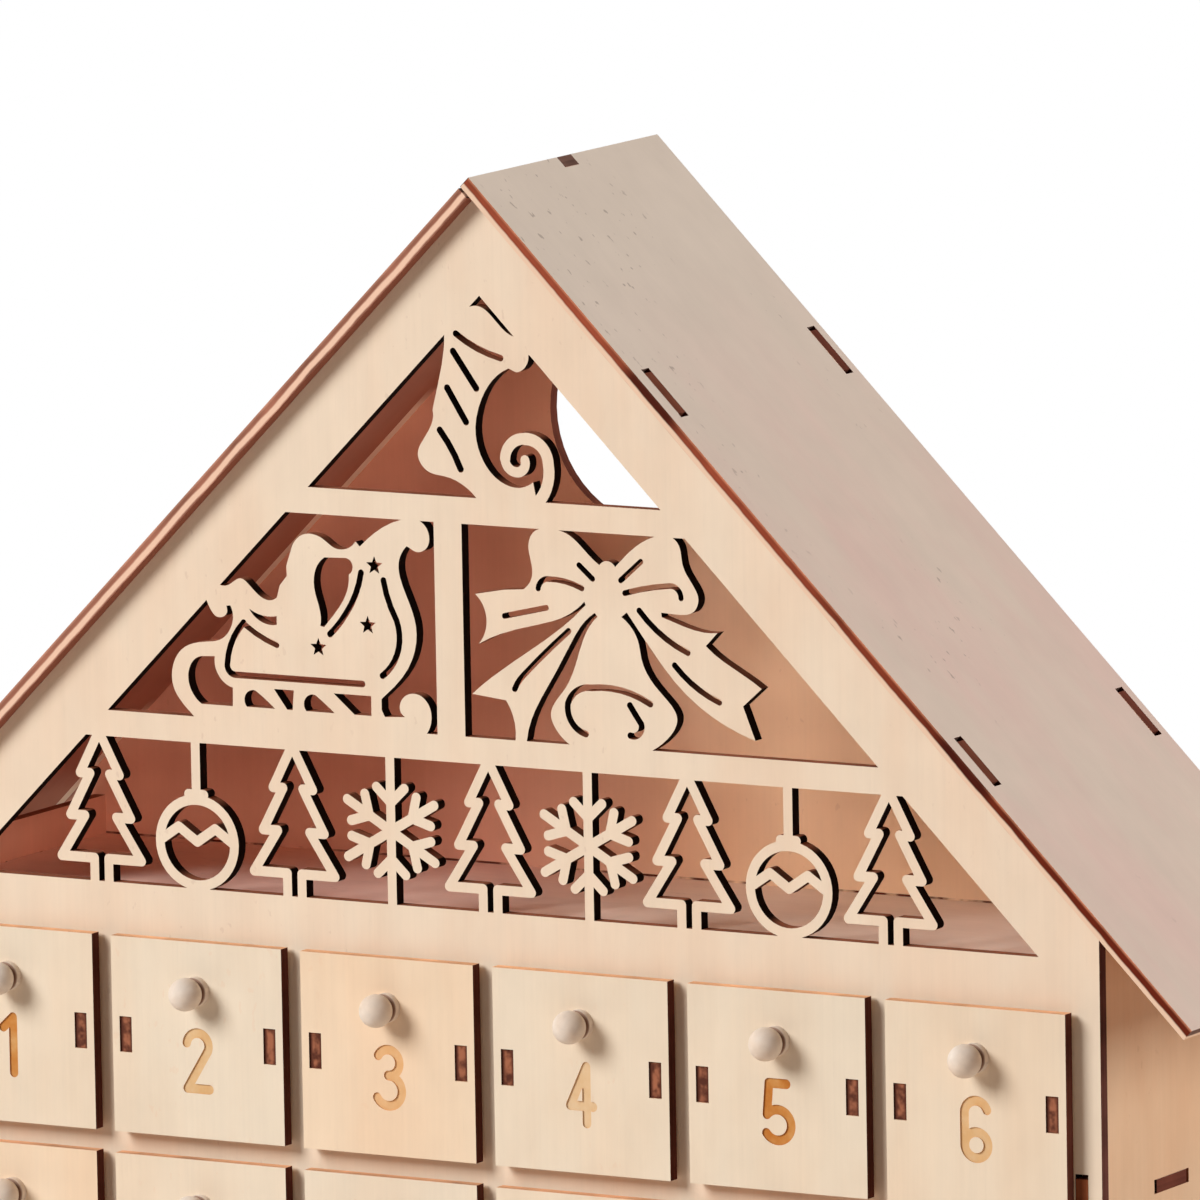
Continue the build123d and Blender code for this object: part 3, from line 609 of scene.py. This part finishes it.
def knob_material():
    """Pale turned wood with its grain along the knob, and painted shade browning the neck between ball and
    collar.
    """
    material, tree, shader, place = new_material("knob_wood", knob_gloss)
    lines = noise(tree, place, knob_lines, detail=3.0, roughness=0.6)
    drift = ease(tree, noise(tree, place, knob_drift), *mottle_levels)
    colour = blend(tree, drift, knob_pale, knob_warm)
    colour = scaled(tree, colour, between(tree, lines, *knob_line_range))
    height = calc(tree, "SUBTRACT", face_y, split(tree, place)["Y"])
    # painted shade in the hollow neck between ball and collar
    neck = product(tree, ease(tree, height, *knob_neck), opposite(tree, ease(tree, height, *knob_ball)))
    colour = blend(tree, neck, colour, knob_neck_shade)
    tree.links.new(colour, shader.inputs["Base Color"])
    tree.links.new(between(tree, lines, *knob_roughness), shader.inputs["Roughness"])
    raise_grain(tree, shader, lines, knob_relief)
    return material


def middle_of(name, axis):
    """Middle of a board's box along an axis."""
    low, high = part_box(name)
    return (low[axis] + high[axis]) / 2


def finish_boards():
    """Give every board and knob its wood."""
    wall = {"pale": wall_tone_and_shade_pale, "warm": wall_tone_and_shade_warm, "char": wall_burn}
    finishes = {
        "front_panel": board_material(
            "front_ply", (0, 1, 0), middle_of("front_panel", 1), (0, 1, 0), rim_half=panel_half),
        "back_panel": board_material(
            "back_ply", (0, 1, 0), middle_of("back_panel", 1), (0, -1, 0), char=umber,
            joint_z=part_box("attic_floor")[1].z),
        "attic_floor": board_material(
            "attic_floor_ply", (0, 0, 1), middle_of("attic_floor", 2), (0, 0, 1), left=attic_shade_left,
            right=attic_light_right, turn=lying, scorch=umber),
        "left_wall": board_material(
            "left_wall_ply", (1, 0, 0), middle_of("left_wall", 0), (1, 0, 0), **wall),
        "right_wall": board_material(
            "right_wall_ply", (1, 0, 0), middle_of("right_wall", 0), (-1, 0, 0), **wall),
        "left_roof": roof_material(
            "left_roof_ply", -1, core=left_roof_core, core_middle=-0.35, core_half=0.42,
            upper_char=left_roof_char, lower_char=left_roof_char, rim=left_roof_rim, tab_darkening=0.15),
        "right_roof": roof_material(
            "right_roof_ply", 1, core=right_roof_core, core_middle=-0.70, core_half=0.42,
            upper_char=right_roof_char, lower_char=right_eave_char, rim=right_roof_rim, tab_darkening=0.9),
    }
    dividers = board_material("divider_ply", (1, 0, 0), 0.0)
    drawers = drawer_material()
    knobs = knob_material()
    for name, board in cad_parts.items():
        if name.endswith("_knob"):
            finish = knobs
        elif name.endswith("_box"):
            finish = drawers
        elif name == "dividers":
            finish = dividers
        elif name in finishes:
            finish = finishes[name]
        else:
            finish = board_material(f"{name}_ply", (0, 0, 1), middle_of(name, 2), turn=lying, scorch=umber)
        board.data.materials.clear()
        board.data.materials.append(finish)


def set_camera():
    """Long lens at the place, tilt and roll of the photograph's."""
    back = Vector((sin(camera_azimuth) * cos(camera_elevation), -cos(camera_azimuth) * cos(camera_elevation),
                   sin(camera_elevation)))
    level = Vector((cos(camera_azimuth), sin(camera_azimuth), 0))
    upright = back.cross(level)
    right = cos(camera_roll) * level + sin(camera_roll) * upright
    up = -sin(camera_roll) * level + cos(camera_roll) * upright
    data = bpy.data.cameras.new("camera")
    data.sensor_width = sensor_width
    data.lens = focal_length
    data.clip_end = 50
    camera = bpy.data.objects.new("camera", data)
    camera.matrix_world = Matrix.Translation(camera_place) @ Matrix((right, up, back)).transposed().to_4x4()
    scene.collection.objects.link(camera)
    scene.camera = camera


def seen_directly(tree):
    """1 where the eye, a gloss or a glass looks straight at it."""
    path = add(tree, "ShaderNodeLightPath").outputs
    seen = calc(tree, "MAXIMUM", path["Is Camera Ray"], path["Is Glossy Ray"])
    return calc(tree, "MAXIMUM", seen, path["Is Transmission Ray"])


def hang_lamp(name, towards, level, size, colour):
    """Soft lamp that looks at the middle of the house."""
    lamp = bpy.data.lights.new(name, "AREA")
    lamp.color = colour
    lamp.shape = "RECTANGLE"
    lamp.size, lamp.size_y = size
    lamp.energy = level * pi ** 2 * lamp_distance ** 2
    holder = bpy.data.objects.new(name, lamp)
    holder.location = (cad_box[0] + cad_box[1]) / 2 + towards * lamp_distance
    holder.rotation_mode = "QUATERNION"
    holder.rotation_quaternion = towards.to_track_quat("Z", "Y")
    scene.collection.objects.link(holder)
    return holder


def light_studio():
    """Room that shows white but gives a faint warm light, and three soft lamps.

    The key stands at the upper left and the fill behind at the right. The attic lamp, near the camera,
    lights only the back panel, the attic floor, the left wall and the left roof.
    """
    world = bpy.data.worlds.new("studio")
    scene.world = world
    world.use_nodes = True
    tree = world.node_tree
    background = tree.nodes["Background"]
    seen = seen_directly(tree)
    tree.links.new(blend(tree, seen, room_colour, (1, 1, 1)), background.inputs["Color"])
    tree.links.new(between(tree, seen, room_level, 1.0), background.inputs["Strength"])
    hang_lamp("key", key_towards, key_level, key_size, key_colour)
    hang_lamp("fill", fill_towards, fill_level, fill_size, fill_colour)
    attic_lamp = hang_lamp("attic_lamp", attic_towards, attic_level, attic_lamp_size, attic_lamp_colour)
    attic_boards = bpy.data.collections.new("attic_boards")
    for name in ("back_panel", "attic_floor", "left_wall", "left_roof"):
        attic_boards.objects.link(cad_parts[name])
    attic_lamp.light_linking.receiver_collection = attic_boards


def lay_floor():
    """Pale round floor that runs out into the white room."""
    mesh = bpy.data.meshes.new("floor")
    disc = bmesh.new()
    bmesh.ops.create_circle(disc, cap_ends=True, radius=floor_radius, segments=96)
    disc.to_mesh(mesh)
    disc.free()
    floor = bpy.data.objects.new("floor", mesh)
    scene.collection.objects.link(floor)
    material, tree, shader, place = new_material("floor", floor_gloss)
    shader.inputs["Base Color"].default_value = rgba(floor_colour)
    shader.inputs["Roughness"].default_value = floor_roughness
    distance = add(tree, "ShaderNodeVectorMath", {0: place}, operation="LENGTH").outputs["Value"]
    rim = product(tree, ease(tree, distance, *floor_fade), seen_directly(tree))
    white = add(tree, "ShaderNodeEmission")
    mixed = add(tree, "ShaderNodeMixShader", {0: rim, 1: shader.outputs[0], 2: white.outputs[0]})
    tree.links.new(mixed.outputs[0], tree.nodes["Material Output"].inputs["Surface"])
    mesh.materials.append(material)


finish_boards()
set_camera()
light_studio()
lay_floor()
scene.view_settings.view_transform = "Standard"
